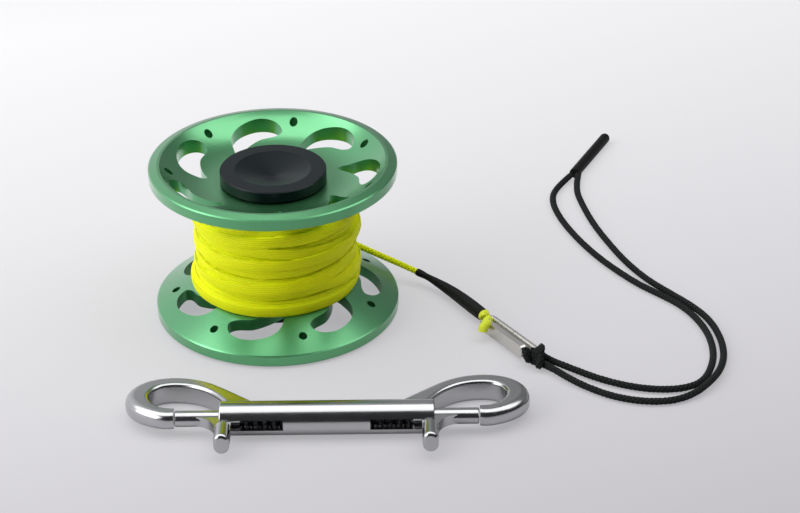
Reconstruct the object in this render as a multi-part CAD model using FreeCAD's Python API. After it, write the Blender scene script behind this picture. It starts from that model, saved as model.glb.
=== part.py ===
import FreeCAD, Part
import math
import os
from FreeCAD import Vector

# A finger spool of line with a double-ended bolt snap beside it, in millimetres and degrees.
# Origin: on the spool's axis, in the plane that the lower flange rests on. +Z is the spool's axis, up.
# -Y is the side seen in the photograph, and the snap lies there, along X.

# Spool as a whole
SPOOL_HEIGHT = 50.0
FLANGE_R = 37.0

# Flange section, with depths measured from the crest plane towards the line
RIM_DEPTH = 4.2
CREST_FROM_EDGE = 3.0
CREST_LAND = 0.8
LIP_DROP = 0.6
RIM_CHAMFER = 0.35
DISH_DEPTH = 6.8
DISH_FLOOR_R = 19.0
FLANGE_THICKNESS = 3.7
INNER_CONE_R = 23.0
FLANGE_BORE_R = 10.0

# Swirled cut-outs through the flanges: an angle past the head, and a share of the way from the tail's
# radius to the outer edge's, going round the comma-shaped outline once
CUTOUT_COUNT = 7
CUTOUT_PHASE = 35.5
CUTOUT_RIM = 5.05
CUTOUT_TAIL_R = 20.0
CUTOUT_OUTLINE = [
    (0.0, 0.71), (2.2, 0.86), (7.0, 0.965), (14.0, 1.0), (21.0, 0.95), (27.0, 0.855),
    (31.5, 0.72), (34.7, 0.52), (36.5, 0.285), (37.7, 0.06), (36.6, 0.0), (34.0, 0.03),
    (30.0, 0.125), (25.0, 0.24), (19.0, 0.365), (13.0, 0.46), (7.0, 0.50), (2.2, 0.57),
]

# Small holes near the rim, where the line's end or the snap is clipped
LOCK_HOLE_R = 1.25
LOCK_HOLE_FROM_EDGE = 6.0
LOCK_HOLE_LEAD = 6.4

# Hub, its screws and bushes
HUB_R = 16.5
SPIGOT_HEIGHT = 1.7
BUSH_OUTER_R = 7.5
BUSH_LENGTH = 11.0
BUSH_FLANGE_R = 9.5
BUSH_FLANGE_T = 1.5
SCREW_COUNT = 6
SCREW_CIRCLE_R = 13.2
SCREW_R = 1.25
SCREW_HEAD_R = 2.3
SCREW_HEAD_H = 1.3
SCREW_LENGTH = 10.0
SCREW_HOLE_SPARE = 1.5
SCREW_SOCKET_R = 1.0
SCREW_SOCKET_DEPTH = 0.8
SCREW_CLEARANCE = 0.15

# Thumb grip: pads with long stems on one spindle
PAD_R = 15.9
PAD_T = 3.6
PAD_GAP = 0.4
PAD_CHAMFER = 0.3
DIMPLE_R = 11.4
DIMPLE_DEPTH = 2.8
STEM_R = 5.0
STEM_CLEARANCE = 0.05
COLLAR_LENGTH = 3.2
SPINDLE_R = 3.0
SPINDLE_COVER = 1.6
WASHER_R = 8.8
THRUST_CLEARANCE = 0.05

# Wound line
WINDING_R = 25.4
WINDING_BULGE = 0.4
WINDING_CLEARANCE = 0.1

# Free end of the line: radius and route, from where it leaves the winding to its hitch
LINE_R = 0.9
LINE_ROUTE = [
    (8.2, 25.4, 15.3), (25.0, 19.2, 9.4), (43.8, 12.3, 3.8), (51.8, 4.7, 2.6), (57.5, -3.5, 2.5),
    (62.9, -13.3, 3.0),
]
SLEEVE_RADII = [1.15, 1.6, 2.05, 1.95]
SLEEVE_END_GAP = 0.5

# Oblong link between line and lanyard
LINK_CENTRE = (69.9, -25.2, 3.1)
LINK_TURN = -56.5
LINK_LENGTH = 26.0
LINK_WIDTH = 5.8
LINK_BAR_R = 1.1
LINK_FLAT_LENGTH = 19.5
LINK_FLAT_HEIGHT = 4.2
LINK_FLAT_T = 1.7
LINK_FLAT_ROUND = 1.25
LINK_SEAM = 0.25
LINK_SEAM_DEPTH = 0.2

# Lanyard: radius, hitches and the routes of the loop's two strands
LANYARD_R = 1.15
LINE_WRAP_THICKNESS = 1.3
LINE_WRAP_WIDTH = 3.4
LANYARD_WRAP_THICKNESS = 1.9
LANYARD_WRAP_WIDTH = 2.3
WRAP_NESTING = 0.1
HITCH_CLEARANCE = 0.05
KNOT_R = 2.6
KNOT_REACH = 3.4
LANYARD_OUTER_ROUTE = [
    (79.8, -39.3, 2.0), (84.9, -45.0, 1.4), (91.6, -51.3, 1.2), (98.9, -56.2, 1.2), (107.1, -58.6, 1.2),
    (115.2, -58.2, 1.2), (121.6, -54.9, 1.5), (126.8, -49.3, 2.1), (130.6, -42.0, 1.4),
    (132.8, -33.9, 1.2), (133.0, -24.4, 1.2), (131.1, -14.0, 1.2), (126.7, -5.5, 1.2),
    (120.9, 2.2, 1.2), (114.7, 10.6, 1.2), (109.1, 21.9, 1.2), (104.9, 34.1, 1.2), (101.0, 47.3, 1.2),
    (98.4, 61.2, 1.2), (97.1, 72.6, 1.2), (98.9, 82.4, 1.6),
]
LANYARD_INNER_ROUTE = [
    (81.0, -36.9, 2.0), (87.0, -40.6, 1.4), (94.2, -45.9, 1.2), (102.1, -50.1, 1.2), (110.3, -52.3, 1.2),
    (118.4, -52.0, 1.2), (124.4, -48.6, 1.2), (127.9, -41.4, 1.2), (129.9, -32.7, 1.2),
    (129.7, -22.2, 1.2), (127.0, -12.2, 1.2), (122.9, -4.4, 1.2), (117.5, 1.7, 1.2),
    (111.8, 7.8, 1.2), (106.3, 15.7, 1.2), (100.4, 25.6, 1.2), (94.9, 37.8, 1.2), (90.4, 51.4, 1.2),
    (88.5, 63.5, 1.2), (90.3, 72.7, 1.2), (96.2, 81.4, 1.6),
]
TIP_START = (97.5, 82.4, 1.75)
TIP_END = (110.9, 110.5, 1.75)
TIP_R = 1.75

# Double-ended bolt snap: place, then sizes in its own frame, from its middle to the right-hand end
SNAP_CENTRE = (16.5, -70.2)
BARREL_R = 4.85
BARREL_HALF = 30.0
BARREL_ROUND = 0.5
HOOK_HEIGHT = 6.6
HOOK_REST_REACH = 17.8
BORE_START = 2.5
SLOT_START = 12.1
SLOT_WIDTH = 3.2
BOLT_R = 2.3
BOLT_CLEARANCE = 0.08
BOLT_BACK = 24.0
BOLT_ROUND = 0.4
NOSE_FACE = 42.75
NOSE_GAP = 0.25
STUD_AT = 28.7
STUD_WIDTH = 4.4
STUD_HEIGHT = 6.2
STUD_DROP = 0.35
STUD_ROOT = 6.3
STUD_END = 14.7
STUD_ROUND = 1.2
STUD_ROOT_ROUND = 0.5
WEB_THICKNESS = 3.0
WEB_REACH = 36.4
WEB_SINK = 1.1
WEB_TIP = 0.35
WEB_TOP = 8.8
WEB_BEND = 1.5
WEB_BEND_OUT = 4.2
SPRING_R = 1.75
SPRING_WIRE_R = 0.3
SPRING_TURNS = 8
SPRING_CORNERS = 6

# Hook stations round the eye: place along and across the snap, heading, width, height, and the edge
# radii on the eye's side and on the outside
HOOK_STATIONS = [
    (NOSE_FACE, 0.1, 0.0, 5.4, 5.4, 2.3, 2.3),
    (46.6, 0.45, 14.0, 5.5, 5.5, 2.0, 2.3),
    (51.0, 3.1, 48.0, 5.8, 5.9, 1.6, 2.5),
    (53.8, 8.2, 84.0, 6.7, 6.4, 1.2, 2.6),
    (52.4, 13.4, 124.0, 6.6, HOOK_HEIGHT, 1.1, 2.6),
    (48.9, 16.4, 153.0, 6.1, HOOK_HEIGHT, 1.1, 2.6),
    (43.6, 17.4, 183.0, 5.8, HOOK_HEIGHT, 1.1, 2.6),
    (38.0, 16.3, 208.0, 5.5, HOOK_HEIGHT, 1.1, 2.6),
    (33.0, 13.4, 222.0, 5.2, HOOK_HEIGHT, 1.1, 2.5),
    (28.9, 9.6, 229.0, 5.7, 6.3, 1.1, 2.4),
    (25.4, 5.7, 230.0, 7.0, 5.8, 1.1, 2.2),
    (21.8, 2.0, 230.0, 7.6, 4.8, 1.1, 1.8),
]

# Helpers of the construction: how far a cutter runs past what it cuts, the share of a cord's straight run
# that each bend takes, and the size under which a length counts as nothing
CUTTER_SPARE = 1.0
BEND_SHARE = 0.45
NEXT_TO_NOTHING = 1e-6

# Sizes worked out from the above
DISH_FLOOR_Z = SPOOL_HEIGHT - DISH_DEPTH
FLANGE_INNER_Z = DISH_FLOOR_Z - FLANGE_THICKNESS
SPIGOT_TOP_Z = FLANGE_INNER_Z + SPIGOT_HEIGHT
PAD_BASE_Z = DISH_FLOOR_Z + PAD_GAP
PAD_TOP_Z = PAD_BASE_Z + PAD_T
BUSH_TOP_Z = SPIGOT_TOP_Z + BUSH_FLANGE_T
MIDDLE_Z = SPOOL_HEIGHT / 2
STEM_END_Z = MIDDLE_Z + COLLAR_LENGTH / 2
SPINDLE_TOP_Z = PAD_TOP_Z - DIMPLE_DEPTH - SPINDLE_COVER
STEP_ANGLE = 360.0 / CUTOUT_COUNT
BORE_R = BOLT_R + BOLT_CLEARANCE
BOLT_TIP = NOSE_FACE - NOSE_GAP
SNAP_ROLL = math.degrees(math.asin((BARREL_R - HOOK_HEIGHT / 2) / HOOK_REST_REACH))

AXIS = Vector(0, 0, 1)
ORIGIN = Vector(0, 0, 0)
nodes = {}


def polar(radius, angle, z=0.0):
    """A point at this radius and angle about the spool's axis."""
    return Vector(radius * math.cos(math.radians(angle)), radius * math.sin(math.radians(angle)), z)


def turned(profile):
    """A solid of revolution about Z from (radius, z) points. Four values make an arc: the point that it
    passes through and the point that it ends at."""
    edges = []
    here = Vector(profile[0][0], 0, profile[0][1])
    for step in profile[1:] + [profile[0]]:
        if len(step) == 4:
            through = Vector(step[0], 0, step[1])
            end = Vector(step[2], 0, step[3])
            edges.append(Part.Arc(here, through, end).toShape())
        else:
            end = Vector(step[0], 0, step[1])
            edges.append(Part.LineSegment(here, end).toShape())
        here = end
    return Part.Face(Part.Wire(edges)).revolve(ORIGIN, AXIS, 360)


def drilled(radius, z_low, z_high, at=ORIGIN):
    """A cylinder between two heights, to add or to cut."""
    return Part.makeCylinder(radius, z_high - z_low, Vector(at.x, at.y, z_low), AXIS)


def below(shape):
    """The lower twin of an upper piece, mirrored in the spool's middle plane."""
    return shape.mirror(Vector(0, 0, MIDDLE_Z), AXIS)


def cutout():
    """One comma-shaped opening, as a tall solid whose head is at angle 0."""
    reach = FLANGE_R - CUTOUT_RIM - CUTOUT_TAIL_R
    outline = [polar(CUTOUT_TAIL_R + share * reach, angle) for angle, share in CUTOUT_OUTLINE]
    curve = Part.BSplineCurve()
    curve.interpolate(Points=outline, PeriodicFlag=True)
    face = Part.Face(Part.Wire(curve.toShape()))
    return face.extrude(Vector(0, 0, SPOOL_HEIGHT))


def screw_places():
    return [polar(SCREW_CIRCLE_R, 360.0 * k / SCREW_COUNT) for k in range(SCREW_COUNT)]


def countersunk(place, radius):
    """A screw's shank of this radius with its head, flush with the dish floor."""
    shank = drilled(radius, DISH_FLOOR_Z - SCREW_LENGTH, DISH_FLOOR_Z, place)
    head_base = Vector(place.x, place.y, DISH_FLOOR_Z - SCREW_HEAD_H)
    head = Part.makeCone(SCREW_R, SCREW_HEAD_R, SCREW_HEAD_H, head_base, AXIS)
    return shank.fuse(head).removeSplitter()


def upper_flange():
    crest_r = FLANGE_R - CREST_FROM_EDGE
    land_in = crest_r - CREST_LAND / 2
    land_out = crest_r + CREST_LAND / 2
    rise = land_in - DISH_FLOOR_R
    dish_radius = (rise ** 2 + DISH_DEPTH ** 2) / (2 * DISH_DEPTH)
    half = math.asin(rise / dish_radius) / 2
    arc_r = DISH_FLOOR_R + dish_radius * math.sin(half)
    arc_z = DISH_FLOOR_Z + dish_radius * (1 - math.cos(half))
    lip_z = SPOOL_HEIGHT - LIP_DROP
    rim_z = SPOOL_HEIGHT - RIM_DEPTH
    disc = turned([
        (FLANGE_BORE_R, DISH_FLOOR_Z),
        (DISH_FLOOR_R, DISH_FLOOR_Z),
        (arc_r, arc_z, land_in, SPOOL_HEIGHT),
        (land_out, SPOOL_HEIGHT),
        (FLANGE_R - RIM_CHAMFER, lip_z),
        (FLANGE_R, lip_z - RIM_CHAMFER),
        (FLANGE_R, rim_z + RIM_CHAMFER),
        (FLANGE_R - RIM_CHAMFER, rim_z),
        (INNER_CONE_R, FLANGE_INNER_Z),
        (FLANGE_BORE_R, FLANGE_INNER_Z),
    ])
    cutters = []
    for k in range(CUTOUT_COUNT):
        angle = CUTOUT_PHASE + k * STEP_ANGLE
        cutters.append(cutout().rotate(ORIGIN, AXIS, angle))
        hole_at = polar(FLANGE_R - LOCK_HOLE_FROM_EDGE, angle - LOCK_HOLE_LEAD)
        cutters.append(drilled(LOCK_HOLE_R, FLANGE_INNER_Z, SPOOL_HEIGHT, hole_at))
    for place in screw_places():
        cutters.append(countersunk(place, SCREW_R + SCREW_CLEARANCE))
    return disc.cut(cutters)


def hub():
    bottom = SPOOL_HEIGHT - FLANGE_INNER_Z
    body = drilled(HUB_R, bottom, FLANGE_INNER_Z)
    body = body.fuse(drilled(FLANGE_BORE_R, SPOOL_HEIGHT - SPIGOT_TOP_Z, SPIGOT_TOP_Z))
    cutters = [drilled(BUSH_OUTER_R, 0, SPOOL_HEIGHT)]
    for place in screw_places():
        hole = drilled(SCREW_R, DISH_FLOOR_Z - SCREW_LENGTH - SCREW_HOLE_SPARE, SPOOL_HEIGHT, place)
        cutters += [hole, below(hole)]
    return body.cut(cutters)


def upper_screws():
    screws = []
    for place in screw_places():
        socket = Part.makePolygon([
            place + polar(SCREW_SOCKET_R, 60.0 * k, DISH_FLOOR_Z - SCREW_SOCKET_DEPTH) for k in range(7)
        ])
        hexagon = Part.Face(socket).extrude(Vector(0, 0, SCREW_SOCKET_DEPTH + CUTTER_SPARE))
        screws.append(countersunk(place, SCREW_R).cut(hexagon))
    return Part.makeCompound(screws)


def upper_bush():
    """A flanged plain bearing, pressed into the hub's bore."""
    return turned([
        (STEM_R + STEM_CLEARANCE, SPIGOT_TOP_Z - BUSH_LENGTH),
        (BUSH_OUTER_R, SPIGOT_TOP_Z - BUSH_LENGTH),
        (BUSH_OUTER_R, SPIGOT_TOP_Z),
        (BUSH_FLANGE_R, SPIGOT_TOP_Z),
        (BUSH_FLANGE_R, BUSH_TOP_Z),
        (STEM_R + STEM_CLEARANCE, BUSH_TOP_Z),
    ])


def upper_washer():
    """A thin ring between the pad and the bush's flange."""
    low = BUSH_TOP_Z + THRUST_CLEARANCE
    return turned([(STEM_R, low), (WASHER_R, low), (WASHER_R, PAD_BASE_Z), (STEM_R, PAD_BASE_Z)])


def upper_pad():
    """The dimpled thumb pad with its stem, bored for the spindle."""
    return turned([
        (0, SPINDLE_TOP_Z),
        (SPINDLE_R, SPINDLE_TOP_Z),
        (SPINDLE_R, STEM_END_Z),
        (STEM_R, STEM_END_Z),
        (STEM_R, PAD_BASE_Z),
        (PAD_R - PAD_CHAMFER, PAD_BASE_Z),
        (PAD_R, PAD_BASE_Z + PAD_CHAMFER),
        (PAD_R, PAD_TOP_Z - PAD_CHAMFER),
        (PAD_R - PAD_CHAMFER, PAD_TOP_Z),
        (DIMPLE_R, PAD_TOP_Z),
        (0, PAD_TOP_Z - DIMPLE_DEPTH),
    ])


def spindle():
    """The shaft that joins the two pads, with a collar that their stems butt on."""
    shaft = drilled(SPINDLE_R, SPOOL_HEIGHT - SPINDLE_TOP_Z, SPINDLE_TOP_Z)
    collar = drilled(STEM_R, SPOOL_HEIGHT - STEM_END_Z, STEM_END_Z)
    return shaft.fuse(collar).removeSplitter()


def line_winding():
    """The wound line as one body: it fills the space between the flanges out to its own radius."""
    slope = (RIM_DEPTH - DISH_DEPTH - FLANGE_THICKNESS) / (FLANGE_R - INNER_CONE_R)
    edge_r = WINDING_R - WINDING_BULGE
    top = FLANGE_INNER_Z - WINDING_CLEARANCE
    edge_top = top - slope * (edge_r - INNER_CONE_R)
    return turned([
        (HUB_R, SPOOL_HEIGHT - top),
        (INNER_CONE_R, SPOOL_HEIGHT - top),
        (edge_r, SPOOL_HEIGHT - edge_top),
        (WINDING_R, MIDDLE_Z, edge_r, edge_top),
        (INNER_CONE_R, top),
        (HUB_R, top),
    ])


def route_edges(points, name):
    """Straight runs joined by tangent arcs through a route's corners; prints the tightest arc's radius."""
    spots = [Vector(*p) for p in points]
    edges = []
    radii = []
    here = spots[0]
    for before, corner, after in zip(spots, spots[1:], spots[2:]):
        back = before - corner
        ahead = after - corner
        trim = BEND_SHARE * min(back.Length, ahead.Length)
        half_turn = (math.pi - back.getAngle(ahead)) / 2
        radius = trim / math.tan(half_turn)
        radii.append(radius)
        arc_start = corner + back.normalize() * trim
        arc_end = corner + ahead.normalize() * trim
        middle = back + ahead
        inset = radius / math.cos(half_turn) - radius
        through = corner + middle.normalize() * inset
        edges.append(Part.LineSegment(here, arc_start).toShape())
        edges.append(Part.Arc(arc_start, through, arc_end).toShape())
        here = arc_end
    edges.append(Part.LineSegment(here, spots[-1]).toShape())
    print(name, "tightest bend", round(min(radii), 2))
    return edges


def ring_section(edge, radius):
    """A circle across the start of an edge."""
    start = edge.valueAt(edge.FirstParameter)
    heading = edge.tangentAt(edge.FirstParameter)
    return Part.Wire(Part.makeCircle(radius, start, heading))


def end_section(edge, radius):
    """A circle across the end of an edge."""
    end = edge.valueAt(edge.LastParameter)
    heading = edge.tangentAt(edge.LastParameter)
    return Part.Wire(Part.makeCircle(radius, end, heading))


def cord(edges, radius, name):
    """A round tube along a route; prints its volume beside section times length."""
    path = Part.Wire(edges)
    tube = path.makePipeShell([ring_section(edges[0], radius)], True, False)
    expected = math.pi * radius ** 2 * path.Length
    print(name, "length", round(path.Length, 1), "volume", round(tube.Volume, 1), "of", round(expected, 1))
    return tube


def line_sleeve(edges, line):
    """The sleeve over the line's stitched end, from the middle of the second bend to the hitch. It
    widens at each of the bends that follow."""
    first = edges[3]
    start = (first.FirstParameter + first.LastParameter) / 2
    half_bend = Part.Edge(first.Curve, start, first.LastParameter)
    last = edges[-1]
    stop = last.LastParameter - SLEEVE_END_GAP
    shortened = Part.LineSegment(last.valueAt(last.FirstParameter), last.valueAt(stop)).toShape()
    spine = [half_bend] + edges[4:-1] + [shortened]
    sections = [ring_section(spine[2 * k], radius) for k, radius in enumerate(SLEEVE_RADII[:-1])]
    sections.append(end_section(spine[-1], SLEEVE_RADII[-1]))
    return Part.Wire(spine).makePipeShell(sections, True, False).cut(line)


def link_place(shape):
    """Moves a piece from the link's own frame, X along the link, to where the link lies."""
    shape.rotate(ORIGIN, AXIS, LINK_TURN)
    shape.translate(Vector(*LINK_CENTRE))
    return shape


def link():
    """An oblong ring of round bar, with a flattened side and a butt seam in the other side."""
    bend_r = LINK_WIDTH / 2 - LINK_BAR_R
    half = LINK_LENGTH / 2 - LINK_BAR_R - bend_r
    near_corners = [Vector(-half, -bend_r, 0), Vector(half, -bend_r, 0)]
    far_corners = [Vector(-half, bend_r, 0), Vector(half, bend_r, 0)]
    left_end = Vector(-half - bend_r, 0, 0)
    right_end = Vector(half + bend_r, 0, 0)
    path = [
        Part.LineSegment(far_corners[0], far_corners[1]).toShape(),
        Part.Arc(far_corners[1], right_end, near_corners[1]).toShape(),
        Part.LineSegment(near_corners[1], near_corners[0]).toShape(),
        Part.Arc(near_corners[0], left_end, far_corners[0]).toShape(),
    ]
    bars = []
    for edge in path:
        bars.append(Part.Wire([edge]).makePipeShell([ring_section(edge, LINK_BAR_R)], True, False))
    ring = bars[0].multiFuse(bars[1:])
    outer_y = LINK_WIDTH / 2
    flat = Part.makeBox(
        LINK_FLAT_LENGTH, LINK_FLAT_T, LINK_FLAT_HEIGHT,
        Vector(-LINK_FLAT_LENGTH / 2, -outer_y, -LINK_FLAT_HEIGHT / 2),
    )
    corners = [e for e in flat.Edges if abs(e.BoundBox.YLength - LINK_FLAT_T) < NEXT_TO_NOTHING]
    flat = flat.makeFillet(LINK_FLAT_ROUND, corners)
    beyond = Part.makeBox(
        LINK_FLAT_LENGTH, 2 * LINK_BAR_R, LINK_FLAT_HEIGHT,
        Vector(-LINK_FLAT_LENGTH / 2, LINK_FLAT_T - outer_y, -LINK_FLAT_HEIGHT / 2),
    )
    ring = ring.cut(beyond).fuse(flat)
    seam_at = Vector(-LINK_SEAM / 2, bend_r, 0)
    along = Vector(1, 0, 0)
    seam = Part.makeCylinder(2 * LINK_BAR_R, LINK_SEAM, seam_at, along)
    seam = seam.cut(Part.makeCylinder(LINK_BAR_R - LINK_SEAM_DEPTH, LINK_SEAM, seam_at, along))
    return link_place(ring.cut(seam))


def wraps(end, width, thickness):
    """Two flat turns of cord, side by side round the link's end bar; end is -1 or 1."""
    bar_at = end * (LINK_LENGTH / 2 - LINK_BAR_R)
    low = bar_at + LINK_BAR_R + HITCH_CLEARANCE
    high = low + thickness
    middle = (low + high) / 2
    round_r = thickness / 2
    section = Part.Wire([
        Part.LineSegment(Vector(low, round_r, 0), Vector(low, width - round_r, 0)).toShape(),
        Part.Arc(Vector(low, width - round_r, 0), Vector(middle, width, 0),
                 Vector(high, width - round_r, 0)).toShape(),
        Part.LineSegment(Vector(high, width - round_r, 0), Vector(high, round_r, 0)).toShape(),
        Part.Arc(Vector(high, round_r, 0), Vector(middle, 0, 0), Vector(low, round_r, 0)).toShape(),
    ])
    turn = Part.Face(section).revolve(Vector(bar_at, 0, 0), Vector(0, 1, 0), 360)
    turn.translate(Vector(0, -WRAP_NESTING / 2, 0))
    return turn.fuse(turn.mirror(ORIGIN, Vector(0, 1, 0)))


def line_hitch(ring):
    return link_place(wraps(-1, LINE_WRAP_WIDTH, LINE_WRAP_THICKNESS)).cut(ring)


def lanyard_knot(ring):
    """The lanyard's hitch on the link and the knot that its strands come out of."""
    knot_at = Vector(LINK_LENGTH / 2 + KNOT_REACH - LINK_BAR_R, 0, 0)
    ball = Part.makeSphere(KNOT_R, knot_at)
    turns = wraps(1, LANYARD_WRAP_WIDTH, LANYARD_WRAP_THICKNESS)
    return link_place(turns.fuse(ball)).cut(ring)


def lanyard_tip():
    """The sleeve that closes the loop's far end: a round bar with a rounded end."""
    start = Vector(*TIP_START)
    end = Vector(*TIP_END)
    heading = (end - start).normalize()
    bar = Part.makeCylinder(TIP_R, (end - start).Length - TIP_R, start, heading)
    return bar.fuse(Part.makeSphere(TIP_R, end - heading * TIP_R)).removeSplitter()


def hook_section(station):
    """A rounded section of the hook, across its heading, with its own radius on each side."""
    along, across, heading, width, height, inner_r, outer_r = station
    centre = Vector(along, across, 0)
    out = Vector(math.sin(math.radians(heading)), -math.cos(math.radians(heading)), 0)
    edges = []
    half_w = width / 2
    half_h = height / 2
    corner = 1 - math.sqrt(0.5)

    def at(side, up):
        return centre + out * side + AXIS * up

    rounds = [
        (half_w, half_h, outer_r), (-half_w, half_h, inner_r),
        (-half_w, -half_h, inner_r), (half_w, -half_h, outer_r),
    ]
    ends = []
    for side, up, radius in rounds:
        in_side = math.copysign(radius, side)
        in_up = math.copysign(radius, up)
        on_side = at(side, up - in_up)
        on_top = at(side - in_side, up)
        middle = at(side - in_side * corner, up - in_up * corner)
        first, last = (on_side, on_top) if side * up > 0 else (on_top, on_side)
        ends.append((first, middle, last))
    for k, (first, middle, last) in enumerate(ends):
        edges.append(Part.Arc(first, middle, last).toShape())
        edges.append(Part.LineSegment(last, ends[(k + 1) % 4][0]).toShape())
    return Part.Wire(edges)


def hook():
    return Part.makeLoft([hook_section(s) for s in HOOK_STATIONS], True, False)


def across(shape):
    """The left-hand twin of a right-hand piece of the snap."""
    return shape.mirror(ORIGIN, Vector(1, 0, 0))


def snap_body():
    along = Vector(1, 0, 0)
    barrel = Part.makeCylinder(BARREL_R, 2 * BARREL_HALF, Vector(-BARREL_HALF, 0, 0), along)
    rims = [e for e in barrel.Edges if e.BoundBox.XLength < NEXT_TO_NOTHING]
    barrel = barrel.makeFillet(BARREL_ROUND, rims)
    right_hook = hook()
    mouth = BARREL_HALF + CUTTER_SPARE
    bore = Part.makeCylinder(BORE_R, mouth - BORE_START, Vector(BORE_START, 0, 0), along)
    slot = Part.makeBox(
        mouth - SLOT_START, 2 * BARREL_R, SLOT_WIDTH,
        Vector(SLOT_START, -2 * BARREL_R, -SLOT_WIDTH / 2),
    )
    body = barrel.fuse(right_hook).fuse(across(right_hook))
    return body.cut([bore, slot, across(bore), across(slot)])


def bolt():
    """One sliding bolt with its web and thumb stud."""
    along = Vector(1, 0, 0)
    rod = Part.makeCylinder(BOLT_R, BOLT_TIP - BOLT_BACK, Vector(BOLT_BACK, 0, 0), along)
    tips = [e for e in rod.Edges if e.BoundBox.XLength < NEXT_TO_NOTHING]
    rod = rod.makeFillet(BOLT_ROUND, tips)
    stud_in = STUD_AT - STUD_WIDTH / 2
    stud_out = STUD_AT + STUD_WIDTH / 2
    low = -WEB_THICKNESS / 2
    corners = [
        Vector(stud_in, -WEB_SINK, low), Vector(WEB_REACH, -WEB_SINK, low),
        Vector(WEB_REACH, -BOLT_R + WEB_TIP, low),
        Vector(stud_out, -WEB_TOP, low), Vector(stud_in, -WEB_TOP, low),
    ]
    bend = Vector(stud_out + WEB_BEND, -WEB_BEND_OUT, low)
    outline = [
        Part.LineSegment(corners[0], corners[1]).toShape(),
        Part.LineSegment(corners[1], corners[2]).toShape(),
        Part.Arc(corners[2], bend, corners[3]).toShape(),
        Part.LineSegment(corners[3], corners[4]).toShape(),
        Part.LineSegment(corners[4], corners[0]).toShape(),
    ]
    web = Part.Face(Part.Wire(outline)).extrude(AXIS * WEB_THICKNESS)
    return rod.fuse([web, stud()]).removeSplitter()


def stud():
    """An oval post that stands out from the barrel, a little below its middle, with rounded rims."""
    round_r = STUD_WIDTH / 2
    straight = STUD_HEIGHT / 2 - round_r
    left = STUD_AT - round_r
    right = STUD_AT + round_r
    corners = [
        Vector(right, -STUD_ROOT, -straight), Vector(right, -STUD_ROOT, straight),
        Vector(left, -STUD_ROOT, straight), Vector(left, -STUD_ROOT, -straight),
    ]
    top = Vector(STUD_AT, -STUD_ROOT, STUD_HEIGHT / 2)
    foot = Vector(STUD_AT, -STUD_ROOT, -STUD_HEIGHT / 2)
    outline = [
        Part.LineSegment(corners[0], corners[1]).toShape(),
        Part.Arc(corners[1], top, corners[2]).toShape(),
        Part.LineSegment(corners[2], corners[3]).toShape(),
        Part.Arc(corners[3], foot, corners[0]).toShape(),
    ]
    post = Part.Face(Part.Wire(outline)).extrude(Vector(0, STUD_ROOT - STUD_END, 0))
    for place, radius in ((STUD_END, STUD_ROUND), (STUD_ROOT, STUD_ROOT_ROUND)):
        level = [e for e in post.Edges if e.BoundBox.YLength < NEXT_TO_NOTHING]
        rim = [e for e in level if abs(e.BoundBox.YMin + place) < BOLT_CLEARANCE]
        post = post.makeFillet(radius, rim)
    post.translate(Vector(0, 0, -STUD_DROP))
    return post


def spring():
    """The coil spring behind a bolt, seated on the bore's end and on the bolt's back. Its turns are short
    straight runs with tangent arcs between them, whose middles touch the coil's radius."""
    length = BOLT_BACK - BORE_START - 2 * SPRING_WIRE_R
    reach = SPRING_R / math.cos(math.pi / SPRING_CORNERS)
    count = SPRING_TURNS * SPRING_CORNERS
    corners = [polar(reach, 360.0 * k / SPRING_CORNERS, length * k / count) for k in range(count + 1)]
    coil = cord(route_edges(corners, "spring"), SPRING_WIRE_R, "spring")
    coil.rotate(ORIGIN, Vector(0, 1, 0), 90)
    coil.translate(Vector(BORE_START + SPRING_WIRE_R, 0, 0))
    return coil


def lay_snap(shape):
    """Moves a piece of the snap to where it lies: on its barrel and on the far sides of its hooks."""
    shape.rotate(ORIGIN, Vector(1, 0, 0), -SNAP_ROLL)
    shape.translate(Vector(SNAP_CENTRE[0], SNAP_CENTRE[1], BARREL_R))
    return shape


nodes["upper_flange"] = upper_flange()
nodes["lower_flange"] = below(nodes["upper_flange"])
nodes["hub"] = hub()
nodes["upper_flange_screws"] = upper_screws()
nodes["lower_flange_screws"] = below(nodes["upper_flange_screws"])
nodes["upper_bush"] = upper_bush()
nodes["lower_bush"] = below(nodes["upper_bush"])
nodes["upper_thrust_washer"] = upper_washer()
nodes["lower_thrust_washer"] = below(nodes["upper_thrust_washer"])
nodes["upper_thumb_pad"] = upper_pad()
nodes["lower_thumb_pad"] = below(nodes["upper_thumb_pad"])
nodes["spindle"] = spindle()
nodes["line_winding"] = line_winding()

steel_link = link()
hitch = line_hitch(steel_link)
knot = lanyard_knot(steel_link)
tip = lanyard_tip()
line_edges = route_edges(LINE_ROUTE, "free_line")
line = cord(line_edges, LINE_R, "free_line").cut(hitch)
nodes["link"] = steel_link
nodes["line_hitch"] = hitch
nodes["lanyard_knot"] = knot
nodes["lanyard_tip"] = tip
nodes["free_line"] = line
nodes["line_sleeve"] = line_sleeve(line_edges, line).cut(hitch)
for strand, route in (("lanyard_outer", LANYARD_OUTER_ROUTE), ("lanyard_inner", LANYARD_INNER_ROUTE)):
    tube = cord(route_edges(route, strand), LANYARD_R, strand)
    nodes[strand] = tube.cut([knot, tip])

nodes["snap_body"] = lay_snap(snap_body())
nodes["right_bolt"] = lay_snap(bolt())
nodes["left_bolt"] = lay_snap(across(bolt()))
nodes["right_spring"] = lay_snap(spring())
nodes["left_spring"] = lay_snap(across(spring()))

os.makedirs("parts", exist_ok=True)
for name, shape in nodes.items():
    shape.exportStep(f"parts/{name}.step")
    solids = len(shape.Solids)
    box = shape.optimalBoundingBox(False, False)
    print(f"{name}: {solids} solid(s), volume {shape.Volume:.1f}, valid {shape.isValid()}, "
          f"z {box.ZMin:.2f} to {box.ZMax:.2f}")
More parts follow.
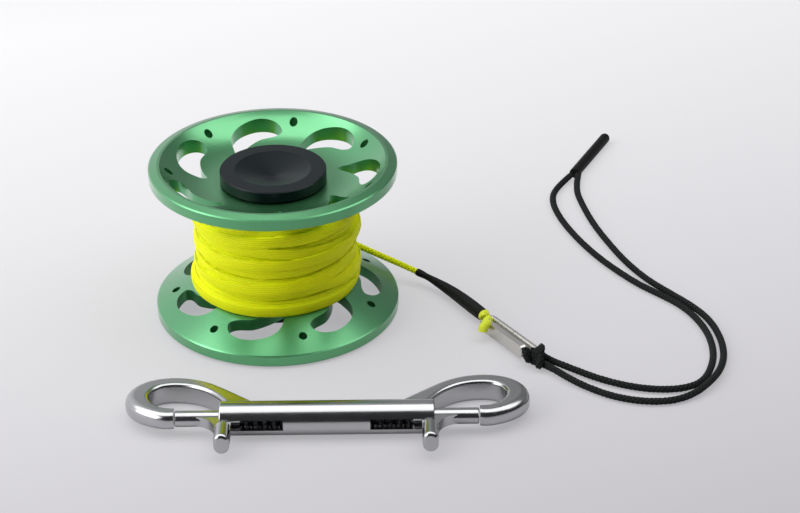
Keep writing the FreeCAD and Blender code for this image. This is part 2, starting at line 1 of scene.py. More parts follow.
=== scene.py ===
# %% [markdown]
# A finger spool holds line that is paid out and wound up by hand. Two dished flanges of green anodised
# aluminium sit on a hub, with yellow line wound between them and a black thumb pad in the middle. A steel
# link and a braided lanyard are tied to the line's free end, and a double-ended bolt snap lies in front.
# The rigid pieces come from the construction model as a fixed frame. This script finishes every surface
# and makes what is soft: the wound line, the free line with its sleeve and hitch, and the lanyard with
# its knot.

# %% Load the frame
import math
import random

import bpy
import numpy as np
from mathutils import Matrix, Vector


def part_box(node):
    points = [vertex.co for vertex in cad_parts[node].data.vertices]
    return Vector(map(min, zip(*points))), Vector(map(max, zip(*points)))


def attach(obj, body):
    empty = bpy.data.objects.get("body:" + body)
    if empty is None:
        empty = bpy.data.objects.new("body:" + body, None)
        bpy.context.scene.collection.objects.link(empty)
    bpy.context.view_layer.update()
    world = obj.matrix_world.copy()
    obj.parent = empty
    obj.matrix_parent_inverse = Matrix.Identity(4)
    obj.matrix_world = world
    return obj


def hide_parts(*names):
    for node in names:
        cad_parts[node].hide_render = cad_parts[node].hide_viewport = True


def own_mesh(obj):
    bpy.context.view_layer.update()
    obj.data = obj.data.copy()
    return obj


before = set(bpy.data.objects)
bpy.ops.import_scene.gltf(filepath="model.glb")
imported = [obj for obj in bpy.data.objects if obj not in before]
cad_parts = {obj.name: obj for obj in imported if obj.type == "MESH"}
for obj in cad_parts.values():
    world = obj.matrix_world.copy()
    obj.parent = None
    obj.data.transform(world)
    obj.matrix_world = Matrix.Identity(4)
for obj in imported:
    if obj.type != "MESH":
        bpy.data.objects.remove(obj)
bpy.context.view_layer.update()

MM = 0.001
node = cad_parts

# %% [markdown]
# The photograph was taken with a long lens from about 30 degrees above the table. A camera could be
# turned towards a point, but the real one also leans over by a fraction of a degree. So it is placed by
# its position, the way it looks and the direction of its right-hand side, and its turn is a matrix of
# these directions.

# %% The camera
CAMERA_AT = Vector((0.03529, -0.58368, 0.34593))
CAMERA_FORWARD = Vector((0.00340, 0.87087, -0.49149)).normalized()
CAMERA_RIGHT = Vector((0.99993, -0.00833, -0.00784))
CAMERA_LENS = 99.056
CAMERA_SENSOR = 36.0
CAMERA_NEAREST = 0.01      # what is closer than this isn't drawn

bpy.ops.object.camera_add(location=CAMERA_AT)
camera = bpy.context.object
camera_up = CAMERA_RIGHT.cross(CAMERA_FORWARD).normalized()
camera_turn = Matrix((CAMERA_RIGHT.normalized(), camera_up, -CAMERA_FORWARD)).transposed()
camera.matrix_world = Matrix.Translation(CAMERA_AT) @ camera_turn.to_4x4()
camera.data.lens = CAMERA_LENS
camera.data.sensor_width = CAMERA_SENSOR
camera.data.sensor_fit = "HORIZONTAL"
camera.data.clip_start = CAMERA_NEAREST
bpy.context.scene.camera = camera
bpy.context.scene.view_settings.view_transform = "Standard"
print("camera looks along", [round(c, 3) for c in CAMERA_FORWARD])

# %% [markdown]
# Every material starts the same way: a Principled BSDF whose constant values are set on its own sockets,
# and nodes for what changes over the surface. The same nodes could be placed by hand in the shader
# editor. Helpers do it in a line each, so that a material's cell shows only what is special about it.

# %% Helpers for materials
COLOUR_A = 6               # places of a Mix node's colour inputs, because its inputs share their names
COLOUR_B = 7
COLOUR_OUT = 2             # place of its colour output


def new_material(name, **values):
    """A material with its Principled BSDF, and constant socket values given by name."""
    material = bpy.data.materials.new(name)
    material.use_nodes = True
    shader = material.node_tree.nodes["Principled BSDF"]
    for socket, value in values.items():
        shader.inputs[socket.replace("_", " ")].default_value = value
    return material, material.node_tree, shader


def add(tree, kind, **settings):
    """A node with its properties and its unlinked inputs set; input names have spaces as underscores."""
    made = tree.nodes.new(kind)
    for key, value in settings.items():
        if key.startswith("in_"):
            made.inputs[key[3:].replace("_", " ")].default_value = value
        else:
            setattr(made, key, value)
    return made


def link(tree, source, target):
    """Joins an output to an input."""
    tree.links.new(source, target)


def times(tree, factor, operation="MULTIPLY"):
    """A Math node that multiplies its first input by a fixed factor. MULTIPLY_ADD then adds the third."""
    made = add(tree, "ShaderNodeMath", operation=operation)
    made.inputs[1].default_value = factor
    return made


def colour_mix(tree, first=None, second=None, **settings):
    """A Mix node for colours. A colour that isn't given is linked afterwards."""
    mix = add(tree, "ShaderNodeMix", data_type="RGBA", **settings)
    for socket, colour in ((COLOUR_A, first), (COLOUR_B, second)):
        if colour is not None:
            mix.inputs[socket].default_value = colour
    return mix


def emboss(tree, shader, height, strength, depth):
    """Lets a mask stand out of the surface. Depth is how high it is at most, in metres."""
    bump = add(tree, "ShaderNodeBump", in_Strength=strength, in_Distance=depth)
    link(tree, height, bump.inputs["Height"])
    link(tree, bump.outputs["Normal"], shader.inputs["Normal"])


def dress(names, material):
    """Gives CAD pieces their material."""
    for name in names:
        mesh = node[name].data
        mesh.materials.clear()
        mesh.materials.append(material)
    print(material.name, "is on", ", ".join(names))


# %% [markdown]
# The table is one pale sheet, a lilac grey that grows lighter towards the back and a little darker to the
# right. This is painted shade: the light falls off towards the front and the right. Lamps could give that
# change, but they would light the spool unevenly as well, so it is in the table's own colour. The real
# shadows are very pale, because light comes from all sides. Part of the table therefore glows by itself
# where the camera looks, and no shadow can darken that part.

# %% The table
TABLE_SIZE = 1.6
TABLE_CENTRE = (0.05, 0.12, -0.00002)
TABLE_FRONT = (0.515, 0.502, 0.53, 1.0)
TABLE_BACK = (0.92, 0.918, 0.935, 1.0)
TABLE_FRONT_Y = -0.16
TABLE_BACK_Y = 0.24
TABLE_SLANT = -0.35        # how much darker it grows to the right, as a share of the same towards the front
TABLE_GLOW = 0.62          # share of the table's own colour that a shadow can't darken
REFLECTED_GLOW = 0.15      # the same share in reflections, where the shadows count for more

bpy.ops.mesh.primitive_plane_add(size=TABLE_SIZE, location=(0, 0, 0))
table = bpy.context.object
table.name = "table"
table.data.transform(Matrix.Translation(TABLE_CENTRE))
table_material, tree, shader = new_material("pale_table", Roughness=0.6, Specular_IOR_Level=0.1)
place = add(tree, "ShaderNodeTexCoord")
split = add(tree, "ShaderNodeSeparateXYZ")
slanted = times(tree, TABLE_SLANT, "MULTIPLY_ADD")
depth = add(tree, "ShaderNodeMapRange", in_From_Min=TABLE_FRONT_Y, in_From_Max=TABLE_BACK_Y)
# painted shade: the light's fall-off towards the front and the right, painted into the table's colour
shade = colour_mix(tree, TABLE_FRONT, TABLE_BACK)
path_kind = add(tree, "ShaderNodeLightPath")
seen = add(tree, "ShaderNodeMath", operation="MAXIMUM")
seen_glow = times(tree, TABLE_GLOW)
all_glow = times(tree, REFLECTED_GLOW, "MULTIPLY_ADD")
glow = add(tree, "ShaderNodeEmission", in_Strength=1.0)
both = add(tree, "ShaderNodeMixShader")
link(tree, place.outputs["Object"], split.inputs["Vector"])
link(tree, split.outputs["X"], slanted.inputs[0])
link(tree, split.outputs["Y"], slanted.inputs[2])
link(tree, slanted.outputs["Value"], depth.inputs["Value"])
link(tree, depth.outputs["Result"], shade.inputs["Factor"])
link(tree, shade.outputs[COLOUR_OUT], shader.inputs["Base Color"])
link(tree, shade.outputs[COLOUR_OUT], glow.inputs["Color"])
link(tree, path_kind.outputs["Is Camera Ray"], seen.inputs[0])
link(tree, path_kind.outputs["Is Transmission Ray"], seen.inputs[1])
link(tree, seen.outputs["Value"], seen_glow.inputs[0])
link(tree, path_kind.outputs["Is Glossy Ray"], all_glow.inputs[0])
link(tree, seen_glow.outputs["Value"], all_glow.inputs[2])
link(tree, all_glow.outputs["Value"], both.inputs["Fac"])
link(tree, shader.outputs["BSDF"], both.inputs[1])
link(tree, glow.outputs["Emission"], both.inputs[2])
link(tree, both.outputs["Shader"], tree.nodes["Material Output"].inputs["Surface"])
table.data.materials.append(table_material)
print("the table is", TABLE_SIZE, "m wide")

# %% [markdown]
# Polished steel looks like what it mirrors. In a studio that is mostly panels and walls: here a bright
# left side, a dark room behind the camera, and a grey back wall that is paler at its left. They could be
# built as real panels, but the world can hold them as plain greys, blended by the direction of a ray. The
# camera itself sees a pale background in their place.

# %% The room that the steel mirrors
ROOM_FRONT = (0.035, 0.036, 0.04, 1)
ROOM_BACK = (0.25, 0.25, 0.26, 1)
ROOM_LEFT = (0.95, 0.95, 0.98, 1)
ROOM_SEEN = (0.88, 0.88, 0.90, 1)
BACK_FADE = (-0.1, 0.5)          # parts of a direction along Y between which the back wall comes in
LEFT_FADE = (-0.35, -0.95)       # parts along X between which the left side comes in
PALER_FADE = (0.3, -0.6)         # parts along X between which the back wall grows paler

world = bpy.data.worlds.new("studio")
bpy.context.scene.world = world
world.use_nodes = True
tree = world.node_tree
tree.nodes.clear()
output = add(tree, "ShaderNodeOutputWorld")
room = add(tree, "ShaderNodeBackground", in_Strength=1.0)
place = add(tree, "ShaderNodeTexCoord")
split = add(tree, "ShaderNodeSeparateXYZ")
link(tree, place.outputs["Generated"], split.inputs["Vector"])


def blended(tree, first, second, part, fade):
    """Two greys, each a colour or a node's output, blended as a part of the direction goes through fade."""
    share = add(tree, "ShaderNodeMapRange", interpolation_type="SMOOTHSTEP", in_From_Min=fade[0],
                in_From_Max=fade[1])
    mix = colour_mix(tree)
    link(tree, part, share.inputs["Value"])
    link(tree, share.outputs["Result"], mix.inputs["Factor"])
    for socket, grey in ((COLOUR_A, first), (COLOUR_B, second)):
        if isinstance(grey, tuple):
            mix.inputs[socket].default_value = grey
        else:
            link(tree, grey, mix.inputs[socket])
    return mix.outputs[COLOUR_OUT]


back_wall = blended(tree, ROOM_BACK, ROOM_LEFT, split.outputs["X"], PALER_FADE)
front_and_back = blended(tree, ROOM_FRONT, back_wall, split.outputs["Y"], BACK_FADE)
all_round = blended(tree, front_and_back, ROOM_LEFT, split.outputs["X"], LEFT_FADE)
path_kind = add(tree, "ShaderNodeLightPath")
seen = colour_mix(tree, second=ROOM_SEEN)
link(tree, all_round, seen.inputs[COLOUR_A])
link(tree, path_kind.outputs["Is Camera Ray"], seen.inputs["Factor"])
link(tree, seen.outputs[COLOUR_OUT], room.inputs["Color"])
link(tree, room.outputs["Background"], output.inputs["Surface"])
print("the world is", world.name)

# %% [markdown]
# The light is soft: a very large lamp overhead, and a smaller one at the front left that brightens the
# near edges. A sun or a point lamp would draw hard shadows, so both are area lamps. A lamp's power
# spreads over its face, so each is given by how bright the face is, and its power is worked out from its
# size.

# %% The lamps
def soft_lamp(name, at, aim, size, radiance):
    """A large rectangular lamp that looks at a point and is as bright as the radiance says."""
    bpy.ops.object.light_add(type="AREA", location=at)
    lamp = bpy.context.object
    lamp.name = name
    lamp.data.shape = "RECTANGLE"
    lamp.data.size, lamp.data.size_y = size
    lamp.data.energy = radiance * math.pi * size[0] * size[1]
    lamp.rotation_euler = (Vector(aim) - Vector(at)).to_track_quat("-Z", "Y").to_euler()
    print(name, "has", round(lamp.data.energy, 2), "W")


soft_lamp("overhead_lamp", at=(0.03, -0.015, 0.60), aim=(0.03, -0.015, 0.0), size=(1.8, 0.52), radiance=2.3)
soft_lamp("left_lamp", at=(-0.55, -0.30, 0.34), aim=(0.0, 0.0, 0.03), size=(0.5, 0.4), radiance=3.6)

# %% [markdown]
# Two marks return on many finishes. Turned pieces carry very fine rings about the spool's axis, and every
# surface has a slight, cloudy unevenness. Pictures of them would blur close up and need unwrapping, so
# both are worked out from the place on the piece. Each is a node group, built once and used with its own
# scale.

# %% Rings and grain as node groups
def number_group(name, inputs, outputs):
    """A node group with named number sockets, and its two end nodes."""
    group = bpy.data.node_groups.new(name, "ShaderNodeTree")
    for socket in inputs:
        group.interface.new_socket(socket, in_out="INPUT", socket_type="NodeSocketFloat")
    for socket in outputs:
        group.interface.new_socket(socket, in_out="OUTPUT", socket_type="NodeSocketFloat")
    return group, add(group, "NodeGroupInput"), add(group, "NodeGroupOutput")


def turning_rings():
    """Fine concentric rings about Z, as a mask. Scale is about how many there are in a metre."""
    group, entry, leave = number_group("turning_rings", ["Scale"], ["Rings"])
    place = add(group, "ShaderNodeTexCoord")
    split = add(group, "ShaderNodeSeparateXYZ")
    flat = add(group, "ShaderNodeCombineXYZ")
    reach = add(group, "ShaderNodeVectorMath", operation="LENGTH")
    scaled = add(group, "ShaderNodeMath", operation="MULTIPLY")
    noise = add(group, "ShaderNodeTexNoise", noise_dimensions="1D", in_Scale=1.0, in_Detail=3.0)
    link(group, place.outputs["Object"], split.inputs["Vector"])
    link(group, split.outputs["X"], flat.inputs["X"])
    link(group, split.outputs["Y"], flat.inputs["Y"])
    link(group, flat.outputs["Vector"], reach.inputs[0])
    link(group, reach.outputs["Value"], scaled.inputs[0])
    link(group, entry.outputs["Scale"], scaled.inputs[1])
    link(group, scaled.outputs["Value"], noise.inputs["W"])
    link(group, noise.outputs["Fac"], leave.inputs["Rings"])
    return group


def cloudy_grain():
    """Soft noise, as a mask from 0 to 1 and as a value between Low and High."""
    group, entry, leave = number_group(
        "cloudy_grain", ["Scale", "Detail", "Low", "High"], ["Grain", "Value"])
    place = add(group, "ShaderNodeTexCoord")
    noise = add(group, "ShaderNodeTexNoise")
    spread = add(group, "ShaderNodeMapRange")
    link(group, place.outputs["Object"], noise.inputs["Vector"])
    link(group, entry.outputs["Scale"], noise.inputs["Scale"])
    link(group, entry.outputs["Detail"], noise.inputs["Detail"])
    link(group, noise.outputs["Fac"], spread.inputs["Value"])
    link(group, entry.outputs["Low"], spread.inputs["To Min"])
    link(group, entry.outputs["High"], spread.inputs["To Max"])
    link(group, noise.outputs["Fac"], leave.inputs["Grain"])
    link(group, spread.outputs["Result"], leave.inputs["Value"])
    return group


rings = turning_rings()
grain = cloudy_grain()


def add_haze(tree, shader, low, high, scale, detail=2.0):
    """Lets the roughness wander between low and high. Returns the grain's mask."""
    haze = add(tree, "ShaderNodeGroup", node_tree=grain, in_Scale=scale, in_Detail=detail, in_Low=low,
               in_High=high)
    link(tree, haze.outputs["Value"], shader.inputs["Roughness"])
    return haze.outputs["Grain"]


print("node groups:", rings.name, "and", grain.name)

# %% [markdown]
# The flanges are aluminium, turned and then dyed green in a bath that leaves a hard clear skin. Paint
# would look like plastic and bare metal has no colour, so the material is a green metal under a clear
# coat. The dye leaves a slight haze, and the turning rings can only just be made out.

# %% Green anodised aluminium
GREEN = (0.075, 0.35, 0.135, 1.0)

green_metal, tree, shader = new_material(
    "green_anodised", Base_Color=GREEN, Metallic=0.9, Coat_Weight=1.0, Coat_IOR=1.6, Coat_Roughness=0.28)
add_haze(tree, shader, low=0.28, high=0.31, scale=220.0)
marks = add(tree, "ShaderNodeGroup", node_tree=rings, in_Scale=2200.0)
emboss(tree, shader, marks.outputs["Rings"], strength=0.02, depth=0.00003)
dress(["upper_flange", "lower_flange"], green_metal)

# %% [markdown]
# The thumb pad is turned from acetal, a bearing plastic that is nearly black here and hardly shines. One
# flat black would look like a hole. Plastic takes the tool's marks more than metal does, so the same
# rings stand out more, and they change the roughness as well.

# %% Black acetal
black_acetal, tree, shader = new_material(
    "black_acetal", Base_Color=(0.0015, 0.005, 0.007, 1), Specular_IOR_Level=0.22)
marks = add(tree, "ShaderNodeGroup", node_tree=rings, in_Scale=1600.0)
rough = add(tree, "ShaderNodeMapRange", in_To_Min=0.29, in_To_Max=0.37)
link(tree, marks.outputs["Rings"], rough.inputs["Value"])
link(tree, rough.outputs["Result"], shader.inputs["Roughness"])
emboss(tree, shader, marks.outputs["Rings"], strength=0.25, depth=0.00003)
dress(["upper_thumb_pad", "lower_thumb_pad"], black_acetal)

# %% [markdown]
# The snap is polished steel. A mirror finish still has a faint haze. The link and the hidden metal inside
# the hub are only brushed, so they are paler and rougher. The springs are nearly black, as painted shade
# for the dark inside of the barrel, and the bushes and washers are ivory bearing plastic. Each is one
# shader with its own grain, so they share a cell.

# %% Steel, springs and bearings
polished, tree, shader = new_material("polished_steel", Base_Color=(0.43, 0.435, 0.44, 1), Metallic=1.0)
add_haze(tree, shader, low=0.16, high=0.26, scale=180.0, detail=4.0)
dress(["snap_body", "left_bolt", "right_bolt"], polished)

satin, tree, shader = new_material("satin_steel", Base_Color=(0.60, 0.585, 0.56, 1), Metallic=1.0)
add_haze(tree, shader, low=0.28, high=0.40, scale=600.0, detail=5.0)
dress(["link", "spindle", "upper_flange_screws", "lower_flange_screws", "hub"], satin)

# painted shade: the springs are made nearly black to stand for the dark inside of the barrel
painted_shade_spring_steel, tree, shader = new_material("spring_steel", Base_Color=(0.012, 0.012, 0.013, 1), Metallic=0.5)
add_haze(tree, shader, low=0.35, high=0.5, scale=600.0)
dress(["left_spring", "right_spring"], painted_shade_spring_steel)

bearing, tree, shader = new_material("bearing_plastic", Base_Color=(0.55, 0.53, 0.46, 1))
add_haze(tree, shader, low=0.35, high=0.5, scale=400.0)
dress(["upper_bush", "lower_bush", "upper_thrust_washer", "lower_thrust_washer"], bearing)

# %% [markdown]
# Blender's operators work on what is selected. As by hand, each piece is selected alone before it is
# worked on. A curve with a thickness looks like a tube already, but only meshes can be joined and
# smoothed.

# %% Helpers for pieces
def placed(name, data):
    """A new object that shows a mesh or a curve."""
    piece = bpy.data.objects.new(name, data)
    bpy.context.collection.objects.link(piece)
    return piece


def select_only(*pieces):
    """Selects these pieces and nothing else, with the first one active."""
    bpy.ops.object.select_all(action="DESELECT")
    for piece in pieces:
        piece.select_set(True)
    bpy.context.view_layer.objects.active = pieces[0]


def as_mesh(piece):
    """A curve made a mesh, which stays selected."""
    select_only(piece)
    bpy.ops.object.convert(target="MESH")
    return bpy.context.object


def joined(pieces, name):
    """Several pieces as one, under one name."""
    select_only(*pieces)
    bpy.ops.object.join()
    pieces[0].name = name
    return pieces[0]


def tell(piece):
    """Prints how many faces a piece has."""
    print(piece.name, "has", len(piece.data.polygons), "faces")


# %% [markdown]
# A coil spring lies behind each bolt in the snap's barrel and is squeezed when the bolt slides back. A
# copy of the construction model's spring is welded to one mesh, shaded smooth and hung on the snap.

# %% The bolt springs
WELD = 0.000001                    # points closer than this become one
WIRE_SMOOTH = math.radians(40)     # edges that turn by less than this are shaded round


def squeezed_spring(side):
    """A welded copy of one side's spring, shaded smooth and hung on the snap."""
    spring = placed(f"{side}_coil_spring", node[f"{side}_spring"].data.copy())
    select_only(spring)
    bpy.ops.object.mode_set(mode="EDIT")
    bpy.ops.mesh.select_all(action="SELECT")
    bpy.ops.mesh.remove_doubles(threshold=WELD)
    bpy.ops.object.mode_set(mode="OBJECT")
    bpy.ops.object.shade_smooth_by_angle(angle=WIRE_SMOOTH)
    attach(spring, "snap")
    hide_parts(f"{side}_spring")
    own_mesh(spring)


squeezed_spring("left")
squeezed_spring("right")

# %% [markdown]
# The free line and the lanyard's two strands are cords, which bend in one smooth sweep. Each follows a
# route of given points, the same as in the construction model. A row of straight runs with rounded
# corners would look like bent wire, so the points control a NURBS curve, which comes near them without
# going through them.

# %% Routes of the cords, in millimetres
LINE_ROUTE = [
    (8.2, 25.4, 15.3), (25.0, 19.2, 9.4), (43.8, 12.3, 3.8), (51.8, 4.7, 2.6), (57.5, -3.5, 2.5),
    (62.9, -13.3, 3.0),
]
OUTER_ROUTE = [
    (79.8, -39.3, 2.0), (84.9, -45.0, 1.4), (91.6, -51.3, 1.2), (98.9, -56.2, 1.2), (107.1, -58.6, 1.2),
    (115.2, -58.2, 1.2), (121.6, -54.9, 1.5), (126.8, -49.3, 2.1), (130.6, -42.0, 1.4),
    (132.8, -33.9, 1.2), (133.0, -24.4, 1.2), (131.1, -14.0, 1.2), (126.7, -5.5, 1.2),
    (120.9, 2.2, 1.2), (114.7, 10.6, 1.2), (109.1, 21.9, 1.2), (104.9, 34.1, 1.2), (101.0, 47.3, 1.2),
    (98.4, 61.2, 1.2), (97.1, 72.6, 1.2), (98.9, 82.4, 1.6),
]
INNER_ROUTE = [
    (81.0, -36.9, 2.0), (87.0, -40.6, 1.4), (94.2, -45.9, 1.2), (102.1, -50.1, 1.2), (110.3, -52.3, 1.2),
    (118.4, -52.0, 1.2), (124.4, -48.6, 1.2), (127.9, -41.4, 1.2), (129.9, -32.7, 1.2),
    (129.7, -22.2, 1.2), (127.0, -12.2, 1.2), (122.9, -4.4, 1.2), (117.5, 1.7, 1.2),
    (111.8, 7.8, 1.2), (106.3, 15.7, 1.2), (100.4, 25.6, 1.2), (94.9, 37.8, 1.2), (90.4, 51.4, 1.2),
    (88.5, 63.5, 1.2), (90.3, 72.7, 1.2), (96.2, 81.4, 1.6),
]
LANYARD_R = 1.15
LINE_R = 0.9

# %% [markdown]
# The strands of a braid turn round the cord's line, so that line is needed as points. A bare curve made a
# mesh gives them. Each point also gets two directions square to the line. If these came from the curve's
# bends they would flip where it straightens, so they are carried along from the first point without
# twist.

# %% A route's points and the directions beside them
POINT_STEP = 0.1           # millimetres between a route's points
ROUTE_RESOLUTION = 32      # points that Blender works out for each run of a route


def evenly(points, step):
    """The same line with its points a step apart."""
    along = np.concatenate([[0], np.cumsum(np.linalg.norm(np.diff(points, axis=0), axis=1))])
    count = max(2, int(round(along[-1] / step)) + 1)
    wanted = np.linspace(0, along[-1], count)
    return np.stack([np.interp(wanted, along, points[:, k]) for k in range(3)], axis=1)


def spline_points(route):
    """Evenly spaced points along the NURBS curve that a route's points control."""
    curve = bpy.data.curves.new("route", "CURVE")
    curve.dimensions = "3D"
    curve.resolution_u = ROUTE_RESOLUTION
    spline = curve.splines.new("NURBS")
    spline.points.add(len(route) - 1)
    for point, at in zip(spline.points, route):
        point.co = (*at, 1)
    spline.order_u = 3
    spline.use_endpoint_u = True
    guide = bpy.data.objects.new("route", curve)
    mesh = bpy.data.meshes.new_from_object(guide)
    raw = np.array([v.co[:] for v in mesh.vertices])
    bpy.data.meshes.remove(mesh)
    bpy.data.objects.remove(guide)
    return evenly(raw, POINT_STEP)


def length_of(path):
    """The length of a row of points."""
    return np.linalg.norm(np.diff(path, axis=0), axis=1).sum()


def carried_frames(points):
    """Two directions square to the line at each point, carried along it without twist."""
    tangents = np.gradient(points, axis=0)
    tangents /= np.linalg.norm(tangents, axis=1)[:, None]
    side = np.cross(tangents[0], (0, 0, 1))
    sides = []
    for tangent in tangents:
        side = side - tangent * side.dot(tangent)
        side /= np.linalg.norm(side)
        sides.append(side.copy())
    sides = np.array(sides)
    return sides, np.cross(tangents, sides)


line_path = spline_points(LINE_ROUTE)
outer_path = spline_points(OUTER_ROUTE)
inner_path = spline_points(INNER_ROUTE)
for title, path in (("free line", line_path), ("outer strand", outer_path), ("inner strand", inner_path)):
    print(title, "is", round(length_of(path), 1), "mm long")

# %% [markdown]
# Both cords are plaited from eight strands, four turning each way, which pass over and under each other.
# A plain tube with a bump would show a smooth edge where the real cord is knobbly. So each strand is a
# thin tube on its own path: it circles the cord's line, and swings in and out where it meets the strands
# that come towards it.

# %% Tubes and braids
BRAID_STEPS = 12           # points in a strand's turn
STRANDS_EACH_WAY = 4
STRAND_SHARE = 0.33        # a strand's radius, as a share of the cord's
MIDDLE_SHARE = 0.575       # how far a strand's middle lies from the cord's line
WAVE_SHARE = 0.095         # how far it swings in and out of that


def tubes(name, paths, radius, resolution=2, radii=None):
    """One mesh of round tubes along paths, in millimetres. Radii are shares of the radius at each point."""
    curve = bpy.data.curves.new(name, "CURVE")
    curve.dimensions = "3D"
    curve.bevel_depth = radius * MM
    curve.bevel_resolution = resolution
    curve.use_fill_caps = True
    for path in paths:
        spline = curve.splines.new("POLY")
        spline.points.add(len(path) - 1)
        for i, at in enumerate(path):
            spline.points[i].co = (*(at * MM), 1)
            if radii is not None:
                spline.points[i].radius = radii[i]
    piece = as_mesh(placed(name, curve))
    bpy.ops.object.shade_smooth()
    return piece


def braid(name, path, radius, lay, swell=1.0):
    """A cord of eight strands round a core. Lay is the length of a strand's turn, and swell how many times
    as wide the cord starts."""
    step = lay / BRAID_STEPS
    points = evenly(path, step)
    sides, ups = carried_frames(points)
    middle = MIDDLE_SHARE * radius
    wave = WAVE_SHARE * radius
    turns = np.arange(len(points)) * step / lay
    widths = np.linspace(swell, 1.0, len(points))
    paths = []
    for way in (1, -1):
        swing = widths * (middle + way * wave * np.cos(2 * math.pi * STRANDS_EACH_WAY * turns))
        for k in range(STRANDS_EACH_WAY):
            angle = way * 2 * math.pi * turns + 2 * math.pi * k / STRANDS_EACH_WAY
            aside = sides * (swing * np.cos(angle))[:, None]
            above = ups * (swing * np.sin(angle))[:, None]
            paths.append(points + aside + above)
    strands = tubes(name, paths, STRAND_SHARE * radius, resolution=1, radii=widths)
    core = tubes(name + "_core", [points], middle, resolution=1, radii=widths)
    return joined([strands, core], name)


# %% [markdown]
# Braided cord is made of thousands of fine fibres. Modelling them would take millions of faces, and at
# this distance they only break up the colour and the gloss. So a fine grain tints the dye between two
# close colours, stands out as a faint bump, and a sheen gives the soft edge of loose fibres.

# %% The look of fibres, and the lanyard's black cord
def add_fibres(tree, shader, deep, bright, scale, strength, depth):
    """Fine fibres in two close colours that stand out a little. Returns the node that mixes the colours."""
    fibres = add(tree, "ShaderNodeGroup", node_tree=grain, in_Scale=scale, in_Detail=3.0)
    dye = colour_mix(tree, deep, bright)
    link(tree, fibres.outputs["Grain"], dye.inputs["Factor"])
    link(tree, dye.outputs[COLOUR_OUT], shader.inputs["Base Color"])
    emboss(tree, shader, fibres.outputs["Grain"], strength, depth)
    return dye


BLACK_DEEP = (0.003, 0.004, 0.004, 1)
BLACK_WORN = (0.012, 0.014, 0.014, 1)

black_cord, tree, shader = new_material(
    "black_cord", Roughness=0.72, Specular_IOR_Level=0.18, Sheen_Weight=0.04, Sheen_Roughness=0.5,
    Sheen_Tint=(0.5, 0.55, 0.55, 1))
add_fibres(tree, shader, BLACK_DEEP, BLACK_WORN, scale=2500.0, strength=0.5, depth=0.00008)
dress(["lanyard_knot"], black_cord)

# %% [markdown]
# The lanyard is a loop for the wrist. Its two strands leave the knot on the link side by side, sweep
# round on the table and meet again in a smooth sleeve.

# %% The lanyard's strands
LANYARD_LAY = 5.2          # length of a strand's full turn

for name, path in (("outer", outer_path), ("inner", inner_path)):
    strand = braid(f"{name}_strand", path, LANYARD_R, LANYARD_LAY)
    strand.data.materials.append(black_cord)
    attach(strand, "spool")
    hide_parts(f"lanyard_{name}")
    tell(strand)

# %% [markdown]
# The line is a hollow braid in bright yellow, so bright that it seems to shine by itself. A glowing
# material would also shine in the shade. Here light goes a little way into the fibres and comes out
# again, which fills the hollows with yellow. The hitch gets two darker, duller yellows of its own.

# %% The line's yellow
YELLOW_DEEP = (0.76, 0.80, 0.001, 1)
YELLOW_BRIGHT = (0.93, 0.95, 0.003, 1)


def yellow_line_material(name, deep=YELLOW_DEEP, bright=YELLOW_BRIGHT):
    """The line's material, its nodes, and the node that mixes its two yellows."""
    material, tree, shader = new_material(
        name, Roughness=0.6, Specular_IOR_Level=0.15, Sheen_Weight=0.1, Sheen_Roughness=0.4,
        Sheen_Tint=(1.0, 1.0, 0.3, 1), Subsurface_Weight=0.15, Subsurface_Scale=0.001)
    dye = add_fibres(tree, shader, deep, bright, scale=1800.0, strength=0.35, depth=0.00006)
    return material, tree, shader, dye


yellow_line = yellow_line_material("yellow_line")[0]
dress(["line_winding"], yellow_line)

# %% [markdown]
# Wound tightly, the hollow braid lies flat. Where it is free it closes to a round cord, but only
# gradually. So the braid that made the lanyard makes it too, thinner, and wider where it leaves the
# winding.

# %% The free line
LINE_LAY = 4.6             # length of a strand's full turn
LINE_SWELL = 1.3           # how wide it is where it leaves the winding, against its round end

free = braid("free_yellow_line", line_path, LINE_R, LINE_LAY, swell=LINE_SWELL)
free.data.materials.append(yellow_line)
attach(free, "spool")
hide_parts("free_line")
tell(free)

# %% [markdown]
# A heat-shrink sleeve covers the line's stitched end. It grips the line with a short collar and widens
# over the splice, where the line lies double. A tube of one thickness would look like a straw, so its
# radius follows a profile along the line: each pair is a share of the sleeve's length and the radius
# there.

# %% The line's sleeve
SLEEVE_FROM = (43.0, 12.5, 4.0)      # it starts where the line comes nearest to this point
SLEEVE_END_GAP = 0.5                 # how far it ends before the line does
SLEEVE_STEP = 0.25                   # between the points that it is made from
SLEEVE_PROFILE = [
    (0.0, 0.98), (0.006, 1.12), (0.03, 1.16), (0.065, 1.10), (0.10, 0.99), (0.15, 1.02), (0.22, 1.22),
    (0.35, 1.55), (0.50, 1.83), (0.65, 1.98), (0.80, 2.04), (0.92, 2.0), (0.98, 1.93), (1.0, 1.72),
]

start = int(np.argmin(np.linalg.norm(line_path - np.array(SLEEVE_FROM), axis=1)))
end = len(line_path) - int(SLEEVE_END_GAP / POINT_STEP)
sleeve_path = evenly(line_path[start:end], SLEEVE_STEP)
share = np.linspace(0, 1, len(sleeve_path))
radii = np.interp(share, [p[0] for p in SLEEVE_PROFILE], [p[1] for p in SLEEVE_PROFILE])
sleeve = tubes("black_line_sleeve", [sleeve_path], radius=1.0, resolution=8, radii=radii)
black_shrink, tree, shader = new_material(
    "black_sleeve", Base_Color=(0.004, 0.0045, 0.0045, 1), Specular_IOR_Level=0.16)
skin = add_haze(tree, shader, low=0.45, high=0.65, scale=900.0, detail=3.0)
emboss(tree, shader, skin, strength=0.25, depth=0.0001)
sleeve.data.materials.append(black_shrink)
dress(["lanyard_tip"], black_shrink)
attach(sleeve, "spool")
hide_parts("line_sleeve")
tell(sleeve)

